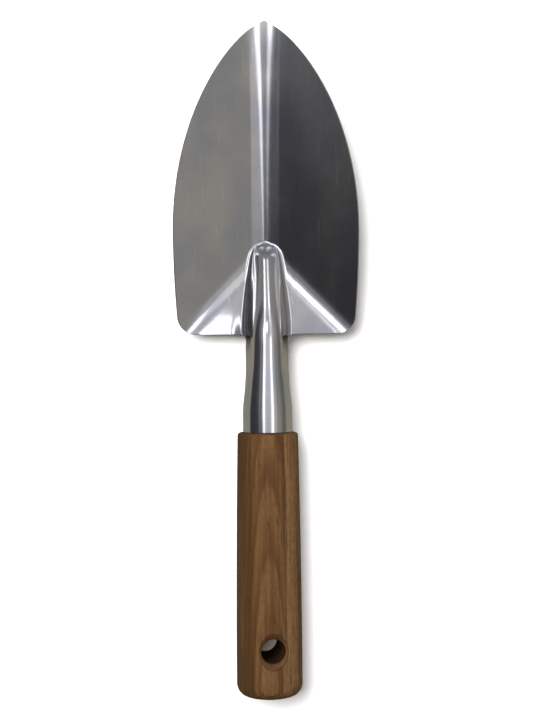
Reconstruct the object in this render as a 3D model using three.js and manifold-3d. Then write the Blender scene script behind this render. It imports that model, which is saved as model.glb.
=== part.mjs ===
// A garden hand trowel, lying on a bench with its hollow side up.
//
// It comes apart into three pieces. The blade is pressed from one sheet of stainless steel: a
// V-shaped scoop, whose middle is raised at the back into a rounded frog, and whose tail is rolled
// down and round into a socket. The turned wooden handle has a tapered tenon that sits in the
// socket. One nail goes through the underside of the socket into the tenon.
//
// Millimetres. +X is right, +Y points to the tip, +Z is up and z = 0 is the bench. The butt is at
// y = -LENGTH / 2. In the sheet's formulas "along" is the distance from the blade's rear edge
// towards the tip, so the socket lies at a negative "along".

import * as THREE from "three";
import { mergeVertices } from "three/addons/utils/BufferGeometryUtils.js";
import Module from "manifold-3d";

const wasm = await Module();
wasm.setup();

// ---- Driving dimensions ------------------------------------------------------------------------

const LENGTH = 298; // butt to tip
const BLADE_LENGTH = 139; // rear edge to tip
const NECK_LENGTH = 43; // rear edge to the wood
const REAR_EDGE_Y = LENGTH / 2 - BLADE_LENGTH;
const SHEET = 1.0; // thickness of the steel
const GAP = 0.3; // between pieces that touch

// The blade's outline
const HALF_WIDTH = 40.6; // at the widest place
const TAPER_LENGTH = 94; // of the curved sides, from the tip
const TAPER_POWER = 0.73; // below 1 the tip is blunter
const REAR_NARROWING = 0.001; // how fast the sides close behind the widest place
const CORNER_RADIUS = 8; // at the rear corners
const TIP_HALF_WIDTH = 0.8; // the point is rubbed blunt

// The V of the scoop
const FLANK_SLOPE = Math.tan(THREE.MathUtils.degToRad(25));
const KEEL_SLOPE = Math.tan(THREE.MathUtils.degToRad(5.5)); // the keel rises towards the tip
const KEEL_CREASE = 6.2; // a faint crease runs this far out on each side of the keel
const KEEL_CREASE_BEND = 0.5;
const KEEL_CREASE_SHARE = 0.2; // of the flank's slope that is turned in at the crease
const KEEL_REST = 43; // the keel touches the bench this far from the rear edge
const BENCH_GAP = 0.08;

// The two flat facets beside the frog, which fall from the rear edge to the V
const FACET_REAR_HALF_WIDTH = 36; // where their crease meets the rear edge
const FACET_CREASE_TURN = 0.963; // how much the crease closes in for each millimetre forward
const FACET_TOP = 13.5; // the sheet levels off at this height behind the rear edge
const FACET_TOP_BEND = 1.5;
const CREASE_BEND = 3.8; // how soft the crease between facet and flank is

// The frog, and the socket behind it
const NOSE_ALONG = 42.4; // the frog's front end
const NOSE_PLAN_RADIUS = 7.5; // the nose is round as seen from above
const NOSE_PLAN_BEND = 1.5;
const NOSE_LEAST_HEIGHT = 0.01;
const NECK_CREST = 23.9; // height of its top line at the rear edge
const NECK_CREST_RISE = 0.036; // and how that rises towards the handle
const FROG_CREST = 9.0; // height of the frog's sloping top line
const FROG_CREST_ALONG = 33.4; // at this place
const FROG_CREST_FALL = 0.52;
const FROG_CREST_BEND = 5; // where the two top lines meet
const NOSE_FOOT = 3.0; // length of the hollow curve at the nose's foot
const NOSE_CURVE = 0.26;
const NOSE_BEND = 4.5;
const WALL_ANGLE = THREE.MathUtils.degToRad(70); // steepness of the frog's sides
const FOOT_RADIUS = 2.5; // between the frog's sides and the blade
const FROG_HALF_BLOCK = 12; // half width of the strip of sheet that holds the frog
const FROG_BLOCK_BEND = 2;
const CREST_RADII = [
  [-35, 10.9],
  [-22, 9.6],
  [-13, 8.4],
  [0, 7.8],
  [FROG_CREST_ALONG, 6],
]; // radius over the top, from the handle's end to the nose

// How round the bottom of the V is: narrow at the nose, wide at the tip.
const KEEL_HOLLOWS = [
  [NOSE_ALONG, 1.7],
  [86, 2.4],
  [115, 3.4],
  [BLADE_LENGTH, 4.8],
];

// The tail that is rolled into the socket
const TAB_FILLET = 2.5; // between the rear edge and the tail's side
const TAB_TURN = 3.5; // the tail has turned down this far behind the rear edge
const MOUTH_END = 17; // the tail's two sides meet this far behind the rear edge
const SEAM_HALF_GAP = 0.3;
const WALL_FADE_START = 2; // the frog's straight sides fade into a round tube
const WALL_FADE_END = 30;

// The handle
const GRIP_SIDES = 32;
const GRIP_RADIUS = 14.55;
const SHOULDER_RADIUS = 13.35;
const SHOULDER_EDGE = 1.5;
const SWELL_LENGTH = 95; // from the shoulder to the full radius
const SWELL_POWER = 1.6;
const BUTT_FLAT_RADIUS = 9.7;
const BUTT_EDGE_LENGTH = 5.3;
const TENON_BACK_RADIUS = 9.5;
const TENON_TIP_RADIUS = 7.9;
const TENON_LENGTH = 24;
const HOLE_RADIUS = 5.2;
const HOLE_FROM_BUTT = 21.4;
const HOLE_COUNTERSINK = 2.2; // depth of its 45 degree rim on top
const HOLE_COUNTERSINK_UNDER = 0.8; // and of the one underneath
const HOLE_ROLL = THREE.MathUtils.degToRad(6.5); // it was drilled slightly off upright
const AXIS_HEIGHT = GRIP_RADIUS * Math.cos(Math.PI / GRIP_SIDES);

// The nail
const NAIL_RADIUS = 1.1;
const NAIL_LENGTH = 12;
const NAIL_POINT = 2.5;
const NAIL_HEAD_RADIUS = 2.1;
const NAIL_HEAD_HEIGHT = 1.1;
const NAIL_ALONG = -31;
const NAIL_TURN = THREE.MathUtils.degToRad(30); // away from the seam, which runs underneath
const NAIL_SIDES = 12;
const NAIL_DOME_STEPS = 4;

// ---- Small maths -------------------------------------------------------------------------------

const mix = (a, b, t) => a + (b - a) * t;

function smoothStep(from, to, value) {
  const t = THREE.MathUtils.clamp((value - from) / (to - from), 0, 1);
  return t * t * t * (t * (6 * t - 15) + 10);
}

// |d| with its sharp corner rounded off between -width and +width.
function softAbs(d, width) {
  const t = d / width;
  if (Math.abs(t) >= 1) return Math.abs(d);
  return width * (3 / 8 + (3 / 4) * t * t - (1 / 8) * t ** 4);
}

const softMax = (a, b, width) => (a + b + softAbs(a - b, width)) / 2;
const softMin = (a, b, width) => (a + b - softAbs(a - b, width)) / 2;

// A smooth curve through stations, level at each end.
function through(stations, value) {
  const last = stations.length - 1;
  if (value <= stations[0][0]) return stations[0][1];
  if (value >= stations[last][0]) return stations[last][1];
  const slope = (i) => {
    if (i === 0 || i === last) return 0;
    const [before, after] = [stations[i - 1], stations[i + 1]];
    return (after[1] - before[1]) / (after[0] - before[0]);
  };
  const i = stations.findIndex((station) => station[0] > value) - 1;
  const [a, b] = [stations[i], stations[i + 1]];
  const span = b[0] - a[0];
  const t = (value - a[0]) / span;
  const bulge = t * (1 - t) * ((1 - t) * slope(i) - t * slope(i + 1)) * span;
  return mix(a[1], b[1], t * t * (3 - 2 * t)) + bulge;
}

// ---- The shape of the sheet's upper face ---------------------------------------------------------

function halfWidth(along) {
  const fromTip = BLADE_LENGTH - along;
  if (fromTip > TAPER_LENGTH) return HALF_WIDTH - REAR_NARROWING * (fromTip - TAPER_LENGTH) ** 2;
  const t = 1 - fromTip / TAPER_LENGTH;
  return Math.max(HALF_WIDTH * Math.max(1 - t * t, 0) ** TAPER_POWER, TIP_HALF_WIDTH);
}

// The same with the rear corners rounded.
function outline(along) {
  if (along >= CORNER_RADIUS) return halfWidth(along);
  const back = CORNER_RADIUS - along;
  return halfWidth(CORNER_RADIUS) - CORNER_RADIUS + Math.sqrt(CORNER_RADIUS ** 2 - back ** 2);
}

// How much the V rises from its bottom line, for a sideways distance.
function flankRise(x, along) {
  const hollow = Math.hypot(x, through(KEEL_HOLLOWS, along));
  const beyondCrease = softMax(Math.abs(x) - KEEL_CREASE, 0, KEEL_CREASE_BEND);
  return FLANK_SLOPE * mix(hollow, beyondCrease, KEEL_CREASE_SHARE);
}

// The keel's underside rests on the bench, so its upper face is one sheet above it.
const KEEL_START = SHEET + BENCH_GAP - KEEL_SLOPE * KEEL_REST - flankRise(0, KEEL_REST);
const FACET_REAR = KEEL_START + flankRise(FACET_REAR_HALF_WIDTH, 0);
const FACET_SLOPE = FACET_CREASE_TURN * FLANK_SLOPE - KEEL_SLOPE;

const valley = (x, along) => KEEL_START + KEEL_SLOPE * along + flankRise(x, along);
const facet = (along) => softMin(FACET_REAR - FACET_SLOPE * along, FACET_TOP, FACET_TOP_BEND);
const scoop = (x, along) => softMax(valley(x, along), facet(along), CREASE_BEND);

// What the frog or the socket rises from.
const ground = (along) => (along < 0 ? facet(along) : scoop(0, along));

function nose(along) {
  const back = Math.max(NOSE_ALONG - along, 0);
  const curved = Math.min(back, NOSE_FOOT);
  return scoop(0, along) + NOSE_CURVE * curved * (curved + 2 * (back - curved));
}

// The top line of the frog and the socket.
function crest(along) {
  const neckLine = NECK_CREST - NECK_CREST_RISE * along;
  const frogLine = FROG_CREST + FROG_CREST_FALL * (FROG_CREST_ALONG - along);
  const topLine = softMin(neckLine, frogLine, FROG_CREST_BEND);
  return Math.max(softMin(topLine, nose(along), NOSE_BEND), ground(along));
}

// Half the width of the nose as seen from above.
function nosePlan(along) {
  const back = THREE.MathUtils.clamp(NOSE_ALONG - along, 0, NOSE_PLAN_RADIUS);
  return Math.sqrt(back * (2 * NOSE_PLAN_RADIUS - back));
}

// One half of a cross-section, as the parts that its outline is made of: the crown over the top,
// the straight wall and the foot. At the nose the crown and the foot are flatter and wider.
function frogShape(along) {
  const height = Math.max(crest(along) - ground(along), 0);
  const grown = through(CREST_RADII, along) + FOOT_RADIUS;
  const flat = (nosePlan(along) ** 2 + height ** 2) / (2 * Math.max(height, NOSE_LEAST_HEIGHT));
  const bend = softMax(grown, flat, NOSE_PLAN_BEND);
  const foot = (bend * FOOT_RADIUS) / grown;
  const lean = Math.acos(Math.max(1 - height / bend, Math.cos(WALL_ANGLE)));
  const straight = Math.max(height - bend * (1 - Math.cos(WALL_ANGLE)), 0) / Math.sin(WALL_ANGLE);
  const wall = straight * (1 - smoothStep(WALL_FADE_START, WALL_FADE_END, -along));
  const reach = bend * Math.sin(lean) + wall * Math.cos(lean);
  return { height, radius: bend - foot, foot, lean, wall, reach };
}

// Length of sheet beyond the frog's straight side: the foot and a little of the facet, or the tail.
function edgeLength(along, shape) {
  if (along >= 0) {
    const block = softMin(FROG_HALF_BLOCK, halfWidth(along) / 2, FROG_BLOCK_BEND);
    return shape.foot * shape.lean + block - shape.reach;
  }
  const start = edgeLength(0, frogShape(0)) - TAB_FILLET;
  const back = Math.max(TAB_FILLET + along, 0);
  const fillet = TAB_FILLET - Math.sqrt(TAB_FILLET ** 2 - back ** 2);
  const closed = tubeRadius(shape) * (Math.PI - shape.lean) - SEAM_HALF_GAP;
  return mix(start + fillet, closed, smoothStep(TAB_FILLET, MOUTH_END, -along));
}

// The radius that carries the frog's side round to meet its twin underneath.
const tubeRadius = (shape) => shape.radius + shape.wall / Math.tan(shape.lean);

// The sheet's downward angle at a distance from the crest, measured round the section.
function heading(distance, along, shape) {
  const crown = shape.radius * shape.lean;
  if (distance < crown) return distance / shape.radius;
  if (distance < crown + shape.wall) return shape.lean;
  const past = distance - crown - shape.wall;
  const foot = Math.max(shape.lean - past / shape.foot, 0);
  if (along >= 0) return foot;
  const tube = shape.lean + past / tubeRadius(shape);
  return mix(foot, tube, smoothStep(0, TAB_TURN, -along));
}

const WALK = 12; // small steps between two points of a section

// Points of one half section: how far out, and how far below the crest.
function halfSection(along, columns) {
  const shape = frogShape(along);
  const total = shape.radius * shape.lean + shape.wall + edgeLength(along, shape);
  const step = total / (columns * WALK);
  const points = [[0, 0]];
  let out = 0;
  let drop = 0;
  for (let i = 0; i < columns * WALK; i++) {
    const angle = heading((i + 0.5) * step, along, shape);
    out += Math.cos(angle) * step;
    drop += Math.sin(angle) * step;
    if ((i + 1) % WALK === 0) points.push([out, drop]);
  }
  return points;
}

// ---- Solids --------------------------------------------------------------------------------------

const SAME_POINT = 1e-4; // points closer than this are one

function toManifold(geometry) {
  const bare = new THREE.BufferGeometry();
  bare.setAttribute("position", geometry.getAttribute("position").clone());
  if (geometry.index) bare.setIndex(geometry.index.clone());
  const merged = mergeVertices(bare, SAME_POINT);
  const corners = [];
  for (let i = 0; i < merged.index.count; i += 3) {
    const [a, b, c] = [0, 1, 2].map((k) => merged.index.getX(i + k));
    if (a !== b && b !== c && c !== a) corners.push(a, b, c);
  }
  const mesh = new wasm.Mesh({
    numProp: 3,
    vertProperties: new Float32Array(merged.attributes.position.array),
    triVerts: new Uint32Array(corners),
  });
  return new wasm.Manifold(mesh);
}

function toGeometry(manifold) {
  const mesh = manifold.getMesh();
  const geometry = new THREE.BufferGeometry();
  geometry.setAttribute("position", new THREE.BufferAttribute(mesh.vertProperties, 3));
  geometry.setIndex(new THREE.BufferAttribute(mesh.triVerts, 1));
  geometry.computeVertexNormals();
  return geometry;
}

// A grid of points pressed to shape and given the sheet's thickness on its lower side.
// Each row holds its points from its first column to its last, centred on column 0.
function sheetGeometry(rows, thickness) {
  const top = [];
  const index = rows.map((row) => row.map((point) => top.push(point) - 1));
  const at = (r, c) => index[r][c + (index[r].length - 1) / 2];
  const faces = [];
  for (let r = 0; r + 1 < rows.length; r++) {
    const half = Math.min((rows[r].length - 1) / 2, (rows[r + 1].length - 1) / 2);
    for (let c = -half; c < half; c++) {
      const [a, b, d, e] = [at(r, c), at(r, c + 1), at(r + 1, c + 1), at(r + 1, c)];
      if (c < 0) faces.push([a, b, e], [b, d, e]);
      else faces.push([a, b, d], [a, d, e]);
    }
  }
  const normals = top.map(() => new THREE.Vector3());
  for (const [a, b, c] of faces) {
    const side = top[b].clone().sub(top[a]);
    const normal = side.cross(top[c].clone().sub(top[a]));
    for (const corner of [a, b, c]) normals[corner].add(normal);
  }
  const under = top.map((point, i) => point.clone().addScaledVector(normals[i].normalize(), -thickness));

  const count = top.length;
  const triangles = [];
  const edges = new Set();
  for (const [a, b, c] of faces) {
    triangles.push(a, b, c, count + a, count + c, count + b);
    for (const edge of [[a, b], [b, c], [c, a]]) edges.add(edge.join());
  }
  for (const edge of edges) {
    const [a, b] = edge.split(",").map(Number);
    if (!edges.has([b, a].join())) triangles.push(b, a, count + a, b, count + a, count + b);
  }
  const geometry = new THREE.BufferGeometry();
  geometry.setFromPoints([...top, ...under]);
  geometry.setIndex(triangles);
  return geometry;
}

// ---- The blade -----------------------------------------------------------------------------------

const FROG_COLUMNS = 10; // each side of the middle, over the frog
const FLANK_COLUMNS = 3; // and beside it
const FROG_FRONT = 30; // rows are closer together from here to just past the nose
const PAST_NOSE = 1;
const TIP_START = 125; // and from here to the tip
const ROWS = { tube: 2, fade: 4, mouth: 6, fillet: 5, rear: 5, front: 9, flanks: 13, tip: 6 };
const MOUTH_EASE = 1.3;
const TIP_EASE = 2;

// Places from one "along" to another, the first left out; ease above 1 crowds them at the end.
const places = (from, to, count, ease = 1) =>
  Array.from({ length: count }, (_, i) => mix(from, to, 1 - (1 - (i + 1) / count) ** ease));

function bladeRows() {
  const quarter = places(0, Math.PI / 2, ROWS.fillet);
  const neck = [
    -NECK_LENGTH,
    ...places(-NECK_LENGTH, -WALL_FADE_END, ROWS.tube),
    ...places(-WALL_FADE_END, -MOUTH_END, ROWS.fade),
    ...places(-MOUTH_END, -TAB_FILLET, ROWS.mouth, MOUTH_EASE),
    ...quarter.map((angle) => TAB_FILLET * (Math.sin(angle) - 1)).slice(0, -1),
  ];
  const blade = [
    0,
    ...quarter.map((angle) => CORNER_RADIUS * (1 - Math.cos(angle))),
    ...places(CORNER_RADIUS, FROG_FRONT, ROWS.rear),
    ...places(FROG_FRONT, NOSE_ALONG + PAST_NOSE, ROWS.front),
    ...places(NOSE_ALONG + PAST_NOSE, TIP_START, ROWS.flanks),
    ...places(TIP_START, BLADE_LENGTH, ROWS.tip, TIP_EASE),
  ];
  return [...neck, ...blade];
}

// The V under the frog is filled in towards its middle, so that the frog's top has no groove.
function pressedHeight(out, drop, along) {
  if (along < 0) return crest(along) - drop;
  const { height, reach } = frogShape(along);
  const share = smoothStep(0, Math.max(reach, SAME_POINT), out);
  return mix(scoop(0, along), scoop(out, along), share) + height - drop;
}

function pressedRow(along) {
  const y = REAR_EDGE_Y + along;
  const half = halfSection(along, FROG_COLUMNS).map(([out, drop]) => [out, pressedHeight(out, drop, along)]);
  if (along >= 0) {
    const inner = half.at(-1)[0];
    for (const out of places(inner, outline(along), FLANK_COLUMNS)) half.push([out, scoop(out, along)]);
  }
  const right = half.map(([out, z]) => new THREE.Vector3(out, y, z));
  const left = half.slice(1).map(([out, z]) => new THREE.Vector3(-out, y, z));
  return [...left.reverse(), ...right];
}

// A direction square to the socket, turned from straight down towards +X.
const nailDirection = new THREE.Vector3(Math.sin(NAIL_TURN), 0, -Math.cos(NAIL_TURN));
const nailPlace = new THREE.Vector3(0, REAR_EDGE_Y + NAIL_ALONG, AXIS_HEIGHT);
const nailRotation = new THREE.Quaternion().setFromUnitVectors(new THREE.Vector3(0, 1, 0), nailDirection);
const SOCKET_RADIUS = through(CREST_RADII, NAIL_ALONG);
const CUT_MARGIN = 2; // how far a cutter reaches past what it cuts

// A round cutter along the nail's line, from one distance off the handle's axis to another.
function nailBore(from, to) {
  const bore = new THREE.CylinderGeometry(NAIL_RADIUS + GAP, NAIL_RADIUS + GAP, to - from, NAIL_SIDES);
  bore.translate(0, (from + to) / 2, 0);
  bore.applyQuaternion(nailRotation);
  bore.translate(nailPlace.x, nailPlace.y, nailPlace.z);
  return toManifold(bore);
}

function bladeGeometry() {
  const sheet = toManifold(sheetGeometry(bladeRows().map(pressedRow), SHEET));
  return toGeometry(sheet.subtract(nailBore(SOCKET_RADIUS - SHEET - CUT_MARGIN, SOCKET_RADIUS + CUT_MARGIN)));
}

// ---- The handle ----------------------------------------------------------------------------------

const SHOULDER_Y = REAR_EDGE_Y - NECK_LENGTH - GAP;
const BUTT_Y = -LENGTH / 2;
const BUTT_STEPS = 5;
const SWELL_STEPS = 6;
const SHOULDER_STEPS = 3;
const HOLE_SIDES = 28;

function gripRadius(y) {
  const left = Math.max(1 - (SHOULDER_Y - y) / SWELL_LENGTH, 0);
  return GRIP_RADIUS - (GRIP_RADIUS - SHOULDER_RADIUS) * left ** SWELL_POWER;
}

// From the middle of the butt to the middle of the tenon's end.
function handleProfile() {
  const points = [[0, BUTT_Y], [BUTT_FLAT_RADIUS, BUTT_Y]];
  for (const angle of places(0, Math.PI / 2, BUTT_STEPS)) {
    const radius = mix(BUTT_FLAT_RADIUS, GRIP_RADIUS, Math.sin(angle));
    points.push([radius, BUTT_Y + BUTT_EDGE_LENGTH * (1 - Math.cos(angle))]);
  }
  const swellEnd = SHOULDER_Y - SWELL_LENGTH;
  points.push([GRIP_RADIUS, swellEnd]);
  for (const y of places(swellEnd, SHOULDER_Y - SHOULDER_EDGE, SWELL_STEPS)) points.push([gripRadius(y), y]);
  for (const angle of places(0, Math.PI / 2, SHOULDER_STEPS)) {
    const inward = SHOULDER_EDGE * (1 - Math.cos(angle));
    points.push([SHOULDER_RADIUS - inward, SHOULDER_Y - SHOULDER_EDGE * (1 - Math.sin(angle))]);
  }
  points.push([TENON_BACK_RADIUS, SHOULDER_Y], [TENON_TIP_RADIUS, SHOULDER_Y + TENON_LENGTH]);
  points.push([0, SHOULDER_Y + TENON_LENGTH]);
  return points.map(([radius, y]) => new THREE.Vector2(radius, y));
}

function hangingHole() {
  const top = GRIP_RADIUS + CUT_MARGIN;
  const profile = [
    [0, -top],
    [HOLE_RADIUS + HOLE_COUNTERSINK_UNDER + CUT_MARGIN, -top],
    [HOLE_RADIUS, HOLE_COUNTERSINK_UNDER - GRIP_RADIUS],
    [HOLE_RADIUS, GRIP_RADIUS - HOLE_COUNTERSINK],
    [HOLE_RADIUS + HOLE_COUNTERSINK + CUT_MARGIN, top],
    [0, top],
  ];
  const cutter = new THREE.LatheGeometry(profile.map(([r, h]) => new THREE.Vector2(r, h)), HOLE_SIDES);
  cutter.rotateX(Math.PI / 2);
  cutter.rotateY(HOLE_ROLL);
  cutter.translate(0, BUTT_Y + HOLE_FROM_BUTT, AXIS_HEIGHT);
  return toManifold(cutter);
}

function handleGeometry() {
  const turned = new THREE.LatheGeometry(handleProfile(), GRIP_SIDES, Math.PI / GRIP_SIDES);
  turned.translate(0, 0, AXIS_HEIGHT);
  const bore = nailBore(SOCKET_RADIUS - SHEET - NAIL_LENGTH, SOCKET_RADIUS + CUT_MARGIN);
  return toGeometry(toManifold(turned).subtract(hangingHole()).subtract(bore));
}

// ---- The nail ------------------------------------------------------------------------------------

// Along its own +Y, from the point to the top of its domed head; y = 0 is the handle's axis.
function nailGeometry() {
  const seat = SOCKET_RADIUS + GAP;
  const point = seat - NAIL_LENGTH + GAP;
  const profile = [[0, point], [NAIL_RADIUS, point + NAIL_POINT], [NAIL_RADIUS, seat]];
  profile.push([NAIL_HEAD_RADIUS, seat]);
  for (const angle of places(0, Math.PI / 2, NAIL_DOME_STEPS)) {
    profile.push([NAIL_HEAD_RADIUS * Math.cos(angle), seat + NAIL_HEAD_HEIGHT * Math.sin(angle)]);
  }
  profile.at(-1)[0] = 0;
  return new THREE.LatheGeometry(profile.map(([r, h]) => new THREE.Vector2(r, h)), NAIL_SIDES);
}

// ---- Assembly ------------------------------------------------------------------------------------

const stainless = new THREE.MeshStandardMaterial({ color: 0xa9a9ad, roughness: 0.22, metalness: 1 });
const oiledWood = new THREE.MeshStandardMaterial({ color: 0x73502f, roughness: 0.62, metalness: 0 });
const nailSteel = new THREE.MeshStandardMaterial({ color: 0x8e8e90, roughness: 0.35, metalness: 1 });

function piece(name, geometry, material) {
  const mesh = new THREE.Mesh(geometry, material);
  mesh.name = name;
  return mesh;
}

const blade = piece("blade", bladeGeometry(), stainless);
const handle = piece("handle", handleGeometry(), oiledWood);
const nail = piece("nail", nailGeometry(), nailSteel);
nail.position.copy(nailPlace);
nail.quaternion.copy(nailRotation);

const group = new THREE.Group();
group.add(blade, handle, nail);

export default group;
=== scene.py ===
# A garden hand trowel that lies on a pale bench with its hollow side up: a scoop pressed from one
# stainless sheet, a turned and oiled wooden handle, and the nail that holds the two together.
# The shapes are worked out in millimetres, in the frame's axes, and MM turns them into metres.

import math

import bpy
from mathutils import Matrix, Vector


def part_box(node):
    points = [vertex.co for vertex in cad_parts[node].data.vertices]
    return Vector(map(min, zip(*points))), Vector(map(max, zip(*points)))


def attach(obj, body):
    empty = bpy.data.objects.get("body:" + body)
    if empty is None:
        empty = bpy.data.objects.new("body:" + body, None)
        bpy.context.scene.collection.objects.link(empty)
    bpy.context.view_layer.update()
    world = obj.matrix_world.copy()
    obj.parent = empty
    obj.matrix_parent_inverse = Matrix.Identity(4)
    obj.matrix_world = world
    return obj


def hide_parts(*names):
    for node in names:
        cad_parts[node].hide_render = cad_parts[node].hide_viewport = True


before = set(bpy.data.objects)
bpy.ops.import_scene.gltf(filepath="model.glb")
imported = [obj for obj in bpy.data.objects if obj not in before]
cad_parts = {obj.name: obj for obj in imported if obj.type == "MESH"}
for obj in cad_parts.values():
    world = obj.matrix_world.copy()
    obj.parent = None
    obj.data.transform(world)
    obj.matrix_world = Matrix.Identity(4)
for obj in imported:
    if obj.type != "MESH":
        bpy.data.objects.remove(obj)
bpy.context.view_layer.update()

MM = 0.001

# ---- Where things are, read from the frame -------------------------------------------------------

blade_low, blade_high = (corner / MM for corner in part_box("blade"))
handle_low, handle_high = (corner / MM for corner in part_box("handle"))
nail_low, nail_high = (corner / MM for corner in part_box("nail"))

BUTT_Y = handle_low.y
TIP_Y = round(blade_high.y)
SOCKET_END_Y = round(blade_low.y)
GRIP_RADIUS = (handle_high.z - handle_low.z) / 2
TENON_END_Y = handle_high.y
AXIS_Z = (handle_low.z + handle_high.z) / 2
NAIL_Y = (nail_low.y + nail_high.y) / 2

# ---- Driving dimensions, as the frame was built with ---------------------------------------------

SHEET = 1.0
BLADE_LENGTH = 139
REAR_EDGE_Y = TIP_Y - BLADE_LENGTH
NECK_LENGTH = REAR_EDGE_Y - SOCKET_END_Y

HALF_WIDTH = 40.6
TAPER_LENGTH = 94
TAPER_POWER = 0.73
REAR_NARROWING = 0.001
CORNER_RADIUS = 8
TIP_HALF_WIDTH = 0.8

FLANK_SLOPE = math.tan(math.radians(25))
KEEL_SLOPE = math.tan(math.radians(5.5))
KEEL_CREASE = 6.2
KEEL_CREASE_BEND = 0.5
KEEL_CREASE_SHARE = 0.2
KEEL_REST = 43
BENCH_GAP = 0.08

FACET_REAR_HALF_WIDTH = 36
FACET_CREASE_TURN = 0.963
FACET_TOP = 13.5
FACET_TOP_BEND = 1.5
CREASE_BEND = 3.8

NOSE_ALONG = 42.4
NOSE_PLAN_RADIUS = 7.5
NOSE_PLAN_BEND = 1.5
NOSE_LEAST_HEIGHT = 0.01
NECK_CREST = 23.9
NECK_CREST_RISE = 0.036
FROG_CREST = 9.0
FROG_CREST_ALONG = 33.4
FROG_CREST_FALL = 0.52
FROG_CREST_BEND = 5
NOSE_FOOT = 3.0
NOSE_CURVE = 0.26
NOSE_BEND = 4.5
WALL_ANGLE = math.radians(70)
FOOT_RADIUS = 2.5
FROG_HALF_BLOCK = 12
FROG_BLOCK_BEND = 2
CREST_RADII = [(-35, 10.9), (-22, 9.6), (-13, 8.4), (0, 7.8), (FROG_CREST_ALONG, 6)]
KEEL_HOLLOWS = [(NOSE_ALONG, 1.7), (86, 2.4), (115, 3.4), (BLADE_LENGTH, 4.8)]

TAB_FILLET = 2.5
TAB_TURN = 3.5
MOUTH_END = 17
SEAM_HALF_GAP = 0.3
WALL_FADE_START = 2
WALL_FADE_END = 30

SHOULDER_RADIUS = 13.35
SHOULDER_EDGE = 1.5
SWELL_LENGTH = 95
SWELL_POWER = 1.6
BUTT_FLAT_RADIUS = 9.7
BUTT_EDGE_LENGTH = 5.3
SHOULDER_Y = SOCKET_END_Y - 0.3
TENON_BACK_RADIUS = 9.5
TENON_TIP_RADIUS = 7.9
HOLE_RADIUS = 5.2
HOLE_Y = BUTT_Y + 21.4
HOLE_COUNTERSINKS = {1: 2.2, -1: 0.8}
HOLE_ROLL = math.radians(6.5)

NAIL_RADIUS = 1.1
NAIL_LENGTH = 12
NAIL_POINT = 2.5
NAIL_HEAD_RADIUS = 2.1
NAIL_HEAD_HEIGHT = 1.1
NAIL_TURN = math.radians(30)


# ---- Small maths ---------------------------------------------------------------------------------

def mix(a, b, t):
    return a + (b - a) * t


def clamp(value, low=0.0, high=1.0):
    return min(max(value, low), high)


def smooth_step(start, end, value):
    t = clamp((value - start) / (end - start))
    return t * t * t * (t * (6 * t - 15) + 10)


def soft_abs(d, width):
    """|d| with its sharp corner rounded off between -width and +width."""
    t = d / width
    if abs(t) >= 1:
        return abs(d)
    return width * (3 / 8 + 3 / 4 * t * t - 1 / 8 * t ** 4)


def soft_max(a, b, width):
    return (a + b + soft_abs(a - b, width)) / 2


def soft_min(a, b, width):
    return (a + b - soft_abs(a - b, width)) / 2


def through(stations, value):
    """A smooth curve through stations, level at each end."""
    last = len(stations) - 1
    if value <= stations[0][0]:
        return stations[0][1]
    if value >= stations[last][0]:
        return stations[last][1]

    def slope(i):
        if i in (0, last):
            return 0
        before, after = stations[i - 1], stations[i + 1]
        return (after[1] - before[1]) / (after[0] - before[0])

    i = next(k for k, station in enumerate(stations) if station[0] > value) - 1
    (x0, y0), (x1, y1) = stations[i], stations[i + 1]
    t = (value - x0) / (x1 - x0)
    bulge = t * (1 - t) * ((1 - t) * slope(i) - t * slope(i + 1)) * (x1 - x0)
    return mix(y0, y1, t * t * (3 - 2 * t)) + bulge


def places(start, end, count, ease=1):
    """count places from start to end, the first left out; ease above 1 crowds them at the end."""
    return [mix(start, end, 1 - (1 - (i + 1) / count) ** ease) for i in range(count)]


# ---- Bench work ----------------------------------------------------------------------------------

def new_piece(name):
    """Names the primitive that was just added."""
    piece = bpy.context.object
    piece.name = name
    piece.data.name = name
    return piece


def work_on(piece):
    bpy.ops.object.select_all(action="DESELECT")
    piece.select_set(True)
    bpy.context.view_layer.objects.active = piece


def pick(piece, mode, wanted):
    """In edit mode, selects only the vertices or faces that wanted() says yes to."""
    bpy.ops.mesh.select_mode(type=mode)
    bpy.ops.mesh.select_all(action="DESELECT")
    bpy.ops.object.mode_set(mode="OBJECT")
    items = piece.data.vertices if mode == "VERT" else piece.data.polygons
    for item in items:
        item.select = wanted(item)
    bpy.ops.object.mode_set(mode="EDIT")


def place_selected(piece, move):
    """Moves each selected vertex, in edit mode, to where move() says."""
    bpy.ops.object.mode_set(mode="OBJECT")
    for vertex in piece.data.vertices:
        if vertex.select:
            vertex.co = move(vertex.co)
    bpy.ops.object.mode_set(mode="EDIT")


def finish_with(piece, kind, **settings):
    """Adds a modifier and applies it."""
    work_on(piece)
    modifier = piece.modifiers.new(kind.title(), kind)
    for key, value in settings.items():
        setattr(modifier, key, value)
    bpy.ops.object.modifier_apply(modifier=modifier.name)


def clean(piece):
    """Merges doubles and turns every face outwards."""
    work_on(piece)
    bpy.ops.object.mode_set(mode="EDIT")
    bpy.ops.mesh.select_all(action="SELECT")
    bpy.ops.mesh.remove_doubles(threshold=0.002 * MM)
    bpy.ops.mesh.normals_make_consistent(inside=False)
    bpy.ops.object.mode_set(mode="OBJECT")


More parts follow.
